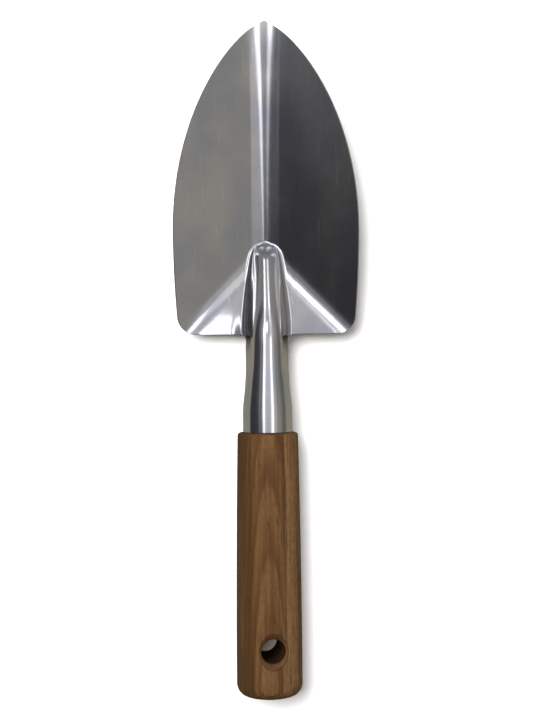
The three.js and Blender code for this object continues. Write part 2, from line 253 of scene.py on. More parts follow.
def turn(name, profile, steps, centre=(0, 0, 0)):
    """Turns a piece about a line along +Y. profile holds (radius, y), and its ends are closed."""
    (radius, y), *rest = profile
    bpy.ops.object.select_all(action="DESELECT")
    bpy.ops.mesh.primitive_circle_add(
        vertices=steps, radius=radius * MM, fill_type="TRIFAN", rotation=(math.pi / 2, 0, 0),
        location=(centre[0] * MM, y * MM, centre[2] * MM))
    piece = new_piece(name)
    bpy.ops.object.transform_apply(location=True, rotation=True, scale=True)
    bpy.ops.object.mode_set(mode="EDIT")
    bpy.ops.mesh.select_mode(type="EDGE")
    bpy.ops.mesh.select_non_manifold(extend=False)
    for next_radius, next_y in rest:
        bpy.ops.mesh.extrude_edges_move(TRANSFORM_OT_translate={"value": (0, (next_y - y) * MM, 0)})
        ratio = next_radius / radius
        middle = (centre[0] * MM, next_y * MM, centre[2] * MM)
        bpy.ops.transform.resize(value=(ratio, 1, ratio), center_override=middle)
        radius, y = next_radius, next_y
    bpy.ops.mesh.edge_face_add()
    bpy.ops.object.mode_set(mode="OBJECT")
    return piece


# ---- The shape of the sheet's upper face -----------------------------------------------------------

def half_width(along):
    from_tip = BLADE_LENGTH - along
    if from_tip > TAPER_LENGTH:
        return HALF_WIDTH - REAR_NARROWING * (from_tip - TAPER_LENGTH) ** 2
    t = 1 - from_tip / TAPER_LENGTH
    return max(HALF_WIDTH * max(1 - t * t, 0) ** TAPER_POWER, TIP_HALF_WIDTH)


def outline(along):
    """The half width with the rear corners rounded."""
    if along >= CORNER_RADIUS:
        return half_width(along)
    back = CORNER_RADIUS - along
    return half_width(CORNER_RADIUS) - CORNER_RADIUS + math.sqrt(CORNER_RADIUS ** 2 - back ** 2)


def flank_rise(x, along):
    """How much the V rises from its bottom line, for a sideways distance."""
    hollow = math.hypot(x, through(KEEL_HOLLOWS, along))
    beyond_crease = soft_max(abs(x) - KEEL_CREASE, 0, KEEL_CREASE_BEND)
    return FLANK_SLOPE * mix(hollow, beyond_crease, KEEL_CREASE_SHARE)


KEEL_START = SHEET + BENCH_GAP - KEEL_SLOPE * KEEL_REST - flank_rise(0, KEEL_REST)
FACET_REAR = KEEL_START + flank_rise(FACET_REAR_HALF_WIDTH, 0)
FACET_SLOPE = FACET_CREASE_TURN * FLANK_SLOPE - KEEL_SLOPE


def facet(along):
    return soft_min(FACET_REAR - FACET_SLOPE * along, FACET_TOP, FACET_TOP_BEND)


def scoop(x, along):
    """The blade without the frog: the V of the flanks, and the facets that fall to it."""
    valley = KEEL_START + KEEL_SLOPE * along + flank_rise(x, along)
    return soft_max(valley, facet(along), CREASE_BEND)


def ground(along):
    return facet(along) if along < 0 else scoop(0, along)


def crest(along):
    """The top line of the frog and the socket."""
    back = max(NOSE_ALONG - along, 0)
    curved = min(back, NOSE_FOOT)
    nose = scoop(0, along) + NOSE_CURVE * curved * (curved + 2 * (back - curved))
    neck_line = NECK_CREST - NECK_CREST_RISE * along
    frog_line = FROG_CREST + FROG_CREST_FALL * (FROG_CREST_ALONG - along)
    top_line = soft_min(neck_line, frog_line, FROG_CREST_BEND)
    return max(soft_min(top_line, nose, NOSE_BEND), ground(along))


def nose_plan(along):
    """Half the width of the nose as seen from above."""
    back = clamp(NOSE_ALONG - along, 0, NOSE_PLAN_RADIUS)
    return math.sqrt(back * (2 * NOSE_PLAN_RADIUS - back))


class FrogSection:
    """One half of the sheet's cross-section at a place along the blade or the socket: the crown
    over the top, the straight wall, and the foot or, behind the rear edge, the rolled tail."""

    def __init__(self, along):
        self.along = along
        self.height = max(crest(along) - ground(along), 0)
        grown = through(CREST_RADII, along) + FOOT_RADIUS
        flat = (nose_plan(along) ** 2 + self.height ** 2) / (2 * max(self.height, NOSE_LEAST_HEIGHT))
        bend = soft_max(grown, flat, NOSE_PLAN_BEND)
        self.foot = bend * FOOT_RADIUS / grown
        self.radius = bend - self.foot
        self.lean = math.acos(max(1 - self.height / bend, math.cos(WALL_ANGLE)))
        straight = max(self.height - bend * (1 - math.cos(WALL_ANGLE)), 0) / math.sin(WALL_ANGLE)
        self.wall = straight * (1 - smooth_step(WALL_FADE_START, WALL_FADE_END, -along))
        self.reach = bend * math.sin(self.lean) + self.wall * math.cos(self.lean)
        self.crown = self.radius * self.lean

    def tube_radius(self):
        """The radius that carries the side round to meet its twin underneath."""
        return self.radius + self.wall / math.tan(self.lean)

    def edge_length(self):
        """Length of sheet beyond the straight wall: the foot and some facet, or the tail."""
        if self.along >= 0:
            block = soft_min(FROG_HALF_BLOCK, half_width(self.along) / 2, FROG_BLOCK_BEND)
            return self.foot * self.lean + block - self.reach
        start = FrogSection(0).edge_length() - TAB_FILLET
        back = max(TAB_FILLET + self.along, 0)
        fillet = TAB_FILLET - math.sqrt(TAB_FILLET ** 2 - back ** 2)
        closed = self.tube_radius() * (math.pi - self.lean) - SEAM_HALF_GAP
        return mix(start + fillet, closed, smooth_step(TAB_FILLET, MOUTH_END, -self.along))

    def heading(self, distance):
        """The sheet's downward angle at a distance from the crest, measured round the section."""
        if distance < self.crown:
            return distance / self.radius
        if distance < self.crown + self.wall:
            return self.lean
        past = distance - self.crown - self.wall
        foot = max(self.lean - past / self.foot, 0)
        if self.along >= 0:
            return foot
        tube = self.lean + past / self.tube_radius()
        return mix(foot, tube, smooth_step(0, TAB_TURN, -self.along))

    def joints(self):
        """Distances round the section where one run of grid columns ends and the next begins.
        They keep to the ends of the crown, the wall and the foot wherever those are there."""
        total = self.crown + self.wall + self.edge_length()
        crown_end = max(self.crown, CROWN_LEAST * total)
        wall_end = max(crown_end + self.wall, crown_end + WALL_LEAST * total)
        foot = max(min(self.foot, FOOT_RADIUS) * self.lean, FOOT_LEAST * total)
        foot_end = wall_end + min(foot, FOOT_MOST * (total - wall_end))
        return [0, crown_end, wall_end, foot_end, total]

    def points(self):
        """How far out, and how far below the crest, at every grid column."""
        out = drop = 0.0
        found = [(0.0, 0.0)]
        joints = self.joints()
        for start, end, columns in zip(joints, joints[1:], SECTION_COLUMNS):
            step = (end - start) / (columns * WALK)
            for i in range(columns * WALK):
                angle = self.heading(start + (i + 0.5) * step)
                out += math.cos(angle) * step
                drop += math.sin(angle) * step
                if (i + 1) % WALK == 0:
                    found.append((out, drop))
        return found


# ---- The blade -------------------------------------------------------------------------------------

# Grid columns over the crown, the wall, the foot and the rest, and the least and most share of the
# section that each of them takes.
SECTION_COLUMNS = (16, 6, 9, 17)
CROWN_LEAST = 0.25
WALL_LEAST = 0.08
FOOT_LEAST = 0.17
FOOT_MOST = 0.75
WALK = 6  # small steps from one column to the next
FROG_COLUMNS = sum(SECTION_COLUMNS)
FLANK_COLUMNS = 16
ROWS = {"tube": 9, "fade": 12, "mouth": 24, "fillet": 9,
        "rear": 30, "front": 46, "flanks": 76, "tip": 20}
FROG_FRONT = 30
PAST_NOSE = 1
TIP_START = 125
MOUTH_EASE = 1.3
TIP_EASE = 1.6
SOCKET_OVERLAP = 0.04

RIPPLE = 0.03
RIPPLE_WAVES = ((1, 6.1, 17, 0.4), (1, 11.3, -8.7, 2.1), (0.6, 4.3, 31, 1.2))
RIPPLE_MIDDLE = 2.6
RIPPLE_FADE = 15
DISH = 1.3
DISH_LENGTH = 16
DISH_INNER_X = FROG_HALF_BLOCK - 2
DISH_OUTER_X = FROG_HALF_BLOCK + 4
EDGE_SOFTNESS = 0.12
EDGE_SLACK = 0.2
TAIL_HALF_WIDTH = FROG_HALF_BLOCK + 1
BLUNT_TIP_LENGTH = 3
SHEARED_EDGE = math.radians(60)
SMOOTH_BELOW = math.radians(35)


def ripple(x, along):
    """A pressed sheet is never quite even: slow ripples of a few hundredths of a millimetre."""
    waves = sum(size * math.sin(x / across + along / ahead + start)
                for size, across, ahead, start in RIPPLE_WAVES)
    return RIPPLE * (RIPPLE_MIDDLE + waves) * smooth_step(-RIPPLE_FADE, 0, along)


def dish(x, along):
    """The left facet is turned down a little towards the rear edge."""
    near_edge = clamp(1 - along / DISH_LENGTH)
    return DISH * near_edge ** 2 * smooth_step(DISH_INNER_X, DISH_OUTER_X, -x)


def blade_rows():
    """Places of the grid's rows along the sheet, closer together where it bends sharply."""
    quarter = places(0, math.pi / 2, ROWS["fillet"])
    neck = [-NECK_LENGTH - SOCKET_OVERLAP]
    neck += places(neck[0], -WALL_FADE_END, ROWS["tube"])
    neck += places(-WALL_FADE_END, -MOUTH_END, ROWS["fade"])
    neck += places(-MOUTH_END, -TAB_FILLET, ROWS["mouth"], MOUTH_EASE)
    neck += [TAB_FILLET * (math.sin(angle) - 1) for angle in quarter[:-1]]
    blade = [0] + [CORNER_RADIUS * (1 - math.cos(angle)) for angle in quarter]
    blade += places(CORNER_RADIUS, FROG_FRONT, ROWS["rear"])
    blade += places(FROG_FRONT, NOSE_ALONG + PAST_NOSE, ROWS["front"])
    blade += places(NOSE_ALONG + PAST_NOSE, TIP_START, ROWS["flanks"])
    blade += places(TIP_START, BLADE_LENGTH, ROWS["tip"], TIP_EASE)
    return neck, blade


def pressed_row(along):
    """The right half of one row of the sheet's upper face, from the middle outwards."""
    section = FrogSection(along)
    half = section.points()
    if along < 0:
        return [(out, crest(along) - drop) for out, drop in half]
    row = []
    for out, drop in half:
        share = smooth_step(0, max(section.reach, NOSE_LEAST_HEIGHT), out)
        floor = mix(scoop(0, along), scoop(out, along), share)
        row.append((out, floor + section.height - drop))
    flank = places(row[-1][0], outline(along), FLANK_COLUMNS)
    return row + [(out, scoop(out, along)) for out in flank]


def press_blade():
    """A flat blank is cut to a tail and a blade, pressed to shape, given its thickness, and has
    its edges rubbed down."""
    neck, blade = blade_rows()
    rows = neck + blade
    half_columns = FROG_COLUMNS + FLANK_COLUMNS
    last_row = len(rows) - 1
    bpy.ops.object.select_all(action="DESELECT")
    bpy.ops.mesh.primitive_grid_add(x_subdivisions=2 * half_columns, y_subdivisions=last_row, size=2)
    sheet = new_piece("pressed_blade")
    sheet.data.transform(Matrix.Diagonal((half_columns, last_row / 2, 1, 1)))

    bpy.ops.object.mode_set(mode="EDIT")

    def beside_tail(face):
        return face.center.y + last_row / 2 < len(neck) and abs(face.center.x) > FROG_COLUMNS

    pick(sheet, "FACE", beside_tail)
    bpy.ops.mesh.delete(type="FACE")

    pressed = [pressed_row(along) for along in rows]

    def press(point):
        column, row = round(point.x), round(point.y + last_row / 2)
        out, height = pressed[row][abs(column)]
        x = math.copysign(out, column) if column else 0.0
        along = rows[row]
        height += ripple(x, along) - (dish(x, along) if along >= 0 else 0)
        return Vector((x, REAR_EDGE_Y + along, height)) * MM

    bpy.ops.mesh.select_mode(type="VERT")
    bpy.ops.mesh.select_all(action="SELECT")
    place_selected(sheet, press)
    bpy.ops.object.mode_set(mode="OBJECT")
    finish_with(sheet, "SOLIDIFY", thickness=SHEET * MM, offset=-1)
    rub_down_edges(sheet)
    work_on(sheet)
    bpy.ops.object.shade_smooth_by_angle(angle=SMOOTH_BELOW)
    return sheet


def rub_down_edges(sheet):
    """A narrow bevel along every sheared edge, but for the last few millimetres at the tip."""
    work_on(sheet)
    bpy.ops.object.mode_set(mode="EDIT")
    bpy.ops.mesh.select_mode(type="EDGE")
    bpy.ops.mesh.select_all(action="DESELECT")
    bpy.ops.mesh.edges_select_sharp(sharpness=SHEARED_EDGE)
    bpy.ops.object.mode_set(mode="OBJECT")
    start, end = REAR_EDGE_Y * MM, (TIP_Y - BLUNT_TIP_LENGTH) * MM
    for edge in sheet.data.edges:
        corners = [sheet.data.vertices[i].co for i in edge.vertices]
        beside_tail = all(abs(corner.x) > TAIL_HALF_WIDTH * MM for corner in corners)
        if not beside_tail or any(not start - EDGE_SLACK * MM < corner.y < end for corner in corners):
            edge.select = False
    bpy.ops.object.mode_set(mode="EDIT")
    bpy.ops.mesh.bevel(offset=EDGE_SOFTNESS * MM, segments=1, clamp_overlap=False)
    bpy.ops.object.mode_set(mode="OBJECT")


# ---- The handle ------------------------------------------------------------------------------------

GRIP_STEPS = 96
HANDLE_ROWS = {"butt": 12, "behind_hole": 5, "hole": 22, "front": 30, "shoulder": 7}
HOLE_PATCH_TURN = math.radians(41.5)
HOLE_PATCH_HALF_LENGTH = 10.6
HOLE_PATCH_DEPTH = 1
DRAWN_IN = (1 / 4, 1 / 3, 1 / 2)
BORE_ROWS = 5
RIM_SOFTNESS = 0.45
RIM_SOFT_SHARE = 0.45
RIM_LEAST = 0.1
RIM_SEARCH_REACH = 2
RIM_SEARCH_STEPS = 30
GRIP_SMOOTH_BELOW = math.radians(40)


def grip_radius(y):
    left = max(1 - (SHOULDER_Y - y) / SWELL_LENGTH, 0)
    return GRIP_RADIUS - (GRIP_RADIUS - SHOULDER_RADIUS) * left ** SWELL_POWER


def handle_profile():
    """From the flat of the butt to the end of the tenon."""
    profile = [(BUTT_FLAT_RADIUS / 2, BUTT_Y), (BUTT_FLAT_RADIUS, BUTT_Y)]
    for angle in places(0, math.pi / 2, HANDLE_ROWS["butt"]):
        radius = mix(BUTT_FLAT_RADIUS, GRIP_RADIUS, math.sin(angle))
        profile.append((radius, BUTT_Y + BUTT_EDGE_LENGTH * (1 - math.cos(angle))))
    patch = [HOLE_Y - HOLE_PATCH_HALF_LENGTH, HOLE_Y + HOLE_PATCH_HALF_LENGTH]
    stations = places(profile[-1][1], patch[0], HANDLE_ROWS["behind_hole"])
    stations += places(patch[0], patch[1], HANDLE_ROWS["hole"])
    stations += places(patch[1], SHOULDER_Y - SHOULDER_EDGE, HANDLE_ROWS["front"])
    profile += [(grip_radius(y), y) for y in stations]
    shoulder = SHOULDER_RADIUS - SHOULDER_EDGE
    for angle in places(0, math.pi / 2, HANDLE_ROWS["shoulder"]):
        inward = mix(grip_radius(SHOULDER_Y - SHOULDER_EDGE), shoulder, 1 - math.cos(angle))
        profile.append((inward, SHOULDER_Y - SHOULDER_EDGE * (1 - math.sin(angle))))
    profile += [(TENON_BACK_RADIUS, SHOULDER_Y), (TENON_TIP_RADIUS, TENON_END_Y)]
    return profile


def to_hole(point):
    """A point, in millimetres, in the hanging hole's own frame, whose Z runs along the hole."""
    return Matrix.Rotation(-HOLE_ROLL, 3, "Y") @ (point - hole_centre())


def hole_centre():
    return Vector((0, HOLE_Y, AXIS_Z))


def from_hole(turn_angle, radius, height):
    point = Vector((radius * math.cos(turn_angle), radius * math.sin(turn_angle), height))
    return Matrix.Rotation(HOLE_ROLL, 3, "Y") @ point + hole_centre()


def on_grip(point):
    """The nearest point of the grip's round surface at the same y."""
    spoke = Vector((point.x, 0, point.z - AXIS_Z))
    spoke = spoke.normalized() * grip_radius(point.y)
    return Vector((spoke.x, point.y, spoke.z + AXIS_Z))


def rim_height(turn_angle, side):
    """How far up the hole its bevel meets the round of the grip, at one angle round it."""
    straight = GRIP_RADIUS - HOLE_COUNTERSINKS[side]
    low, high = straight - RIM_SEARCH_REACH, GRIP_RADIUS + RIM_SEARCH_REACH
    for _ in range(RIM_SEARCH_STEPS):
        height = (low + high) / 2
        radius = HOLE_RADIUS + max(height - straight, 0)
        point = from_hole(turn_angle, radius, side * height)
        if Vector((point.x, point.z - AXIS_Z)).length > GRIP_RADIUS:
            high = height
        else:
            low = height
    return height


def hole_stations(turn_angle, side):
    """Points down the hole at one angle round it, from its outer rim to halfway through."""
    rim = rim_height(turn_angle, side)
    bevel_foot = GRIP_RADIUS - HOLE_COUNTERSINKS[side]
    straight = min(bevel_foot, rim - RIM_LEAST)
    rim_radius = HOLE_RADIUS + max(rim - bevel_foot, RIM_LEAST)
    soft = min(RIM_SOFTNESS, RIM_SOFT_SHARE * (rim - straight))
    edge = from_hole(turn_angle, rim_radius, side * rim)
    outside = on_grip(from_hole(turn_angle, rim_radius + soft, side * rim))
    bevel_top = from_hole(turn_angle, rim_radius - soft, side * (rim - soft))
    bevel_end = from_hole(turn_angle, HOLE_RADIUS + soft, side * (straight + soft))
    inner = from_hole(turn_angle, HOLE_RADIUS, side * straight)
    wall_top = from_hole(turn_angle, HOLE_RADIUS, side * (straight - soft))
    rounded_rim = (outside + 2 * edge + bevel_top) / 4
    rounded_inner = (bevel_end + 2 * inner + wall_top) / 4
    found = [outside, rounded_rim, bevel_top, bevel_end, rounded_inner, wall_top]
    for height in places(straight - soft, 0, BORE_ROWS):
        found.append(from_hole(turn_angle, HOLE_RADIUS, side * height))
    return found


def drill_hanging_hole(handle):
    """Two patches are cut out of the grip, and their edges drawn in and down until they meet."""
    work_on(handle)
    bpy.ops.object.mode_set(mode="EDIT")

    def over_hole(face):
        centre = face.center / MM
        turned = math.atan2(abs(centre.x), abs(centre.z - AXIS_Z))
        on_side = Vector((centre.x, centre.z - AXIS_Z)).length > GRIP_RADIUS - HOLE_PATCH_DEPTH
        near = abs(centre.y - HOLE_Y) < HOLE_PATCH_HALF_LENGTH
        return on_side and near and turned < HOLE_PATCH_TURN

    pick(handle, "FACE", over_hole)
    bpy.ops.mesh.delete(type="FACE")
    bpy.ops.mesh.select_mode(type="EDGE")
    bpy.ops.mesh.select_non_manifold(extend=False)

    def angle_and_side(point):
        local = to_hole(point / MM)
        return math.atan2(local.y, local.x), (1 if local.z > 0 else -1)

    def drawn_in(share):
        def move(point):
            goal = hole_stations(*angle_and_side(point))[0]
            return on_grip((point / MM).lerp(goal, share)) * MM
        return move

    def down_hole(index):
        def move(point):
            return hole_stations(*angle_and_side(point))[index] * MM
        return move

    count = len(hole_stations(0, 1))
    moves = [drawn_in(share) for share in DRAWN_IN] + [down_hole(i) for i in range(count)]
    for move in moves:
        bpy.ops.mesh.extrude_edges_move(TRANSFORM_OT_translate={"value": (0, 0, 0)})
        place_selected(handle, move)
    bpy.ops.object.mode_set(mode="OBJECT")


def turn_handle():
    handle = turn("turned_handle", handle_profile(), GRIP_STEPS, centre=(0, 0, AXIS_Z))
    drill_hanging_hole(handle)
    clean(handle)
    work_on(handle)
    bpy.ops.object.shade_smooth_by_angle(angle=GRIP_SMOOTH_BELOW)
    return handle


# ---- The nail --------------------------------------------------------------------------------------

NAIL_STEPS = 32
NAIL_TIP_RADIUS = 0.08
NAIL_SEAT_GAP = 0.02
NAIL_NECK = 0.1
NAIL_HEAD_LIP = 0.15
NAIL_LIP_HEIGHT = 0.12
NAIL_DOME = {"start": 0.15, "end": math.pi / 2 - 0.1, "steps": 9, "lowest": 0.2}


def make_nail():
    """Turned along +Y about the origin, then swung to its place under the socket."""
    seat = through(CREST_RADII, NAIL_Y - REAR_EDGE_Y) + NAIL_SEAT_GAP
    point = seat - NAIL_LENGTH
    profile = [(NAIL_TIP_RADIUS, point), (NAIL_RADIUS, point + NAIL_POINT)]
    profile += [(NAIL_RADIUS, seat - NAIL_NECK), (NAIL_HEAD_RADIUS - NAIL_HEAD_LIP, seat)]
    profile.append((NAIL_HEAD_RADIUS, seat + NAIL_LIP_HEIGHT))
    for angle in places(NAIL_DOME["start"], NAIL_DOME["end"], NAIL_DOME["steps"]):
        height = max(NAIL_HEAD_HEIGHT * math.sin(angle), NAIL_DOME["lowest"])
        profile.append((NAIL_HEAD_RADIUS * math.cos(angle), seat + height))
    nail = turn("clinched_nail", profile, NAIL_STEPS)
    clean(nail)
    outwards = Vector((math.sin(NAIL_TURN), 0, -math.cos(NAIL_TURN)))
    swing = Vector((0, 1, 0)).rotation_difference(outwards)
    place = Matrix.Translation(Vector((0, NAIL_Y, AXIS_Z)) * MM)
    nail.data.transform(place @ swing.to_matrix().to_4x4())
    work_on(nail)
    bpy.ops.object.shade_smooth_by_angle(angle=SMOOTH_BELOW)
    return nail


# ---- Materials -------------------------------------------------------------------------------------

class Graph:
    """Short ways to add and join the nodes of one material or group."""

    def __init__(self, tree):
        self.tree = tree

    def add(self, kind, inputs=None, **settings):
        node = self.tree.nodes.new(kind)
        for key, value in settings.items():
            setattr(node, key, value)
        for key, value in (inputs or {}).items():
            self.feed(node.inputs[key], value)
        return node

    def feed(self, socket, value):
        if isinstance(value, bpy.types.NodeSocket):
            self.tree.links.new(value, socket)
        else:
            socket.default_value = value

    def math(self, operation, a, b=0.0, clamped=False):
        node = self.add("ShaderNodeMath", {0: a, 1: b}, operation=operation, use_clamp=clamped)
        return node.outputs[0]

    def distance(self, a, b):
        squares = self.math("ADD", self.math("MULTIPLY", a, a), self.math("MULTIPLY", b, b))
        return self.math("SQRT", squares)

    def fit(self, value, low, high, to_low=0.0, to_high=1.0):
        """A smooth ramp from to_low at low to to_high at high."""
        inputs = {"Value": value, "From Min": low, "From Max": high,
                  "To Min": to_low, "To Max": to_high}
        node = self.add("ShaderNodeMapRange", inputs, interpolation_type="SMOOTHSTEP")
        return node.outputs["Result"]

    def blend(self, share, a, b):
        node = self.add("ShaderNodeMix", data_type="RGBA")
        for index, value in ((0, share), (6, a), (7, b)):
            if index and not isinstance(value, bpy.types.NodeSocket):
                value = (*value, 1.0)
            self.feed(node.inputs[index], value)
        return node.outputs[2]

    def noise(self, vector, scale, detail=4.0, roughness=0.5):
        inputs = {"Vector": vector, "Scale": scale, "Detail": detail, "Roughness": roughness}
        return self.add("ShaderNodeTexNoise", inputs).outputs["Fac"]

    def stretched(self, vector, scale, rotation=(0, 0, 0), location=(0, 0, 0)):
        inputs = {"Vector": vector, "Scale": scale, "Rotation": rotation, "Location": location}
        return self.add("ShaderNodeMapping", inputs).outputs["Vector"]

    def grain(self, vector, lengthwise, scale, detail, roughness=0.5):
        """Noise drawn out along Y. lengthwise is how fast it changes there, against 1 sideways."""
        return self.noise(self.stretched(vector, (1, lengthwise, 1)), scale, detail, roughness)

    def use(self, group, inputs):
        node = self.add("ShaderNodeGroup", node_tree=group)
        for key, value in inputs.items():
            self.feed(node.inputs[key], value)
        return node.outputs


def new_group(name, inputs, outputs):
    """A shader node group with named inputs and outputs, as {name: default} and {name: kind}."""
    group = bpy.data.node_groups.new(name, "ShaderNodeTree")
    for key, default in inputs.items():
        kind = "NodeSocketVector" if default is None else "NodeSocketFloat"
        socket = group.interface.new_socket(key, in_out="INPUT", socket_type=kind)
        if default is not None:
            socket.default_value = default
    for key, kind in outputs.items():
        group.interface.new_socket(key, in_out="OUTPUT", socket_type=kind)
    graph = Graph(group)
    entry = graph.add("NodeGroupInput")
    leave = graph.add("NodeGroupOutput")
    return group, graph, entry.outputs, leave.inputs


SCRATCH_DIRECTIONS = (4, 38, -52)
SCRATCH_STRETCH = (1, 0.018, 0.35)


def hairline_group():
    """Fine straight scratches in three directions, each a stretched noise cut to its peaks."""
    group, graph, given, result = new_group(
        "hairlines", {"Place": None, "Fineness": 900.0, "Amount": 0.5}, {"Lines": "NodeSocketFloat"})
    total = 0.0
    for number, degrees in enumerate(SCRATCH_DIRECTIONS):
        vector = graph.stretched(given["Place"], SCRATCH_STRETCH, (0, 0, math.radians(degrees)),
                                 (0.1 * number, 0, 0))
        lines = graph.noise(vector, given["Fineness"], 2.0, 0.6)
        cut = graph.fit(lines, 0.6 + 0.025 * number, 0.78)
        patches = graph.fit(graph.noise(given["Place"], 35.0 + 12 * number, 2.0), 0.42, 0.62)
        total = graph.math("ADD", total, graph.math("MULTIPLY", cut, patches))
    graph.feed(result["Lines"], graph.math("MULTIPLY", total, given["Amount"], True))
    return group


def smudge_group():
    """Cloudy marks left by hands and cloths: broad soft patches with a finer mottle inside."""
    group, graph, given, result = new_group(
        "smudges", {"Place": None, "Size": 40.0}, {"Marks": "NodeSocketFloat"})
    broad = graph.fit(graph.noise(given["Place"], given["Size"], 3.0, 0.55), 0.35, 0.7)
    finer = graph.noise(given["Place"], graph.math("MULTIPLY", given["Size"], 6.0), 5.0, 0.65)
    graph.feed(result["Marks"], graph.math("MULTIPLY", broad, graph.fit(finer, 0.3, 0.75)))
    return group


def ring_group():
    """Growth rings about a tree axis that leans a little, so that a turned stick cut beside it
    shows long arches down its face and close straight lines down its sides."""
    tree = {"Place": None, "Spacing": 0.0012, "Depth": 0.04971, "Sideways": 0.0005,
            "Lean": 0.024, "Wander": 0.0011}
    group, graph, given, result = new_group("growth_rings", tree, {"Ring": "NodeSocketFloat"})
    axes = graph.add("ShaderNodeSeparateXYZ", {0: given["Place"]}).outputs
    wander = graph.math("SUBTRACT", graph.grain(given["Place"], 0.22, 90.0, 3.0, 0.55), 0.5)
    wander = graph.math("MULTIPLY", wander, given["Wander"])
    down = graph.math("ADD", axes["Z"], given["Depth"])
    down = graph.math("SUBTRACT", down, graph.math("MULTIPLY", axes["Y"], given["Lean"]))
    across = graph.math("SUBTRACT", axes["X"], given["Sideways"])
    distance = graph.math("ADD", graph.distance(down, across), wander)
    count = graph.math("DIVIDE", distance, given["Spacing"])
    graph.feed(result["Ring"], graph.math("FRACT", count))
    return group


def pore_group():
    """Short dark pores that run with the grain, in loose clusters."""
    group, graph, given, result = new_group(
        "pores", {"Place": None, "Fineness": 1500.0, "Stretch": 0.08}, {"Pores": "NodeSocketFloat"})
    scale = graph.add("ShaderNodeCombineXYZ", {"X": 1.0, "Y": given["Stretch"], "Z": 1.0}).outputs[0]
    vector = graph.add("ShaderNodeVectorMath", {0: given["Place"], 1: scale}, operation="MULTIPLY")
    inputs = {"Vector": vector.outputs[0], "Scale": given["Fineness"]}
    flecks = graph.add("ShaderNodeTexVoronoi", inputs).outputs["Distance"]
    dots = graph.fit(flecks, 0.3, 0.12)
    clusters = graph.fit(graph.grain(given["Place"], 0.3, 330.0, 3.0), 0.48, 0.62)
    graph.feed(result["Pores"], graph.math("MULTIPLY", dots, clusters))
    return group


def hole_group():
    """Where the hanging hole is: its bevelled rim, the line round that rim, and painted shade on the
    hole's wall.
    """
    kinds = {"Rim": "NodeSocketFloat", "Line": "NodeSocketFloat", "Bore_Shade": "NodeSocketFloat"}
    group, graph, given, result = new_group("hole_marks_and_shade", {"Place": None}, kinds)
    centred = graph.stretched(given["Place"], (1, 1, 1), location=tuple(-hole_centre() * MM))
    upright = graph.add("ShaderNodeVectorRotate", {"Vector": centred, "Angle": -HOLE_ROLL},
                        rotation_type="Y_AXIS").outputs[0]
    axes = graph.add("ShaderNodeSeparateXYZ", {0: upright}).outputs
    off_axis = graph.math("SUBTRACT", graph.distance(axes["X"], axes["Y"]), HOLE_RADIUS * MM)
    upwards = graph.math("SUBTRACT", axes["Z"], (GRIP_RADIUS - HOLE_COUNTERSINKS[1]) * MM)
    off_bevel = graph.math("SUBTRACT", off_axis, upwards)
    over = graph.fit(upwards, -0.2 * MM, 0.1 * MM)
    graph.feed(result["Rim"], graph.math("MULTIPLY", graph.fit(off_bevel, 0.9 * MM, 0.2 * MM), over))
    line_start = graph.fit(off_bevel, 0.1 * MM, 0.3 * MM)
    line_end = graph.fit(off_bevel, 0.9 * MM, 0.5 * MM)
    line = graph.math("MULTIPLY", line_start, line_end)
    graph.feed(result["Line"], graph.math("MULTIPLY", line, over))
    # Painted shade over the whole wall of the hole.
    graph.feed(result["Bore_Shade"], graph.fit(off_axis, 0.35 * MM, 0.05 * MM))
    return group


def new_material(name):
    material = bpy.data.materials.new(name)
    material.use_nodes = True
    graph = Graph(material.node_tree)
    shader = material.node_tree.nodes["Principled BSDF"]
    place = graph.add("ShaderNodeTexCoord").outputs["Object"]
    return material, graph, shader, place


STEEL_SPECK = (0.36, 0.36, 0.37)
STEEL_SCRATCH = (0.9, 0.9, 0.9)


def polished_steel(name, groups, cool, warm, roughness, fineness):
    """Bright metal in slow cool and warm patches, with hairline scratches, fine specks, a faint
    lengthwise grain and hand marks."""
    material, graph, shader, place = new_material(name)
    inputs = {"Place": place, "Fineness": fineness, "Amount": 0.6}
    lines = graph.use(groups["hairlines"], inputs)["Lines"]
    marks = graph.use(groups["smudges"], {"Place": place, "Size": 38.0})["Marks"]
    grain = graph.grain(place, 0.012, 2600.0, 2.0, 0.6)
    tone = graph.fit(graph.noise(place, 40.0, 2.0, 0.5), 0.32, 0.68)
    base = graph.blend(tone, cool, warm)
    specks = graph.fit(graph.noise(place, 1400.0, 3.0, 0.7), 0.35, 0.65)
    base = graph.blend(graph.math("MULTIPLY", specks, 0.14), base, STEEL_SPECK)
    base = graph.blend(graph.math("MULTIPLY", lines, 0.35), base, STEEL_SCRATCH)
    graph.feed(shader.inputs["Base Color"], base)
    shader.inputs["Metallic"].default_value = 1.0
    rough = graph.math("ADD", graph.math("MULTIPLY", marks, 0.05), roughness)
    rough = graph.math("ADD", rough, graph.math("MULTIPLY", lines, 0.18))
    graph.feed(shader.inputs["Roughness"], rough)
    height = graph.math("SUBTRACT", graph.math("MULTIPLY", grain, 0.12), lines)
    bump = graph.add("ShaderNodeBump", {"Strength": 0.12, "Distance": 0.00004, "Height": height})
    graph.feed(shader.inputs["Normal"], bump.outputs["Normal"])
    return material


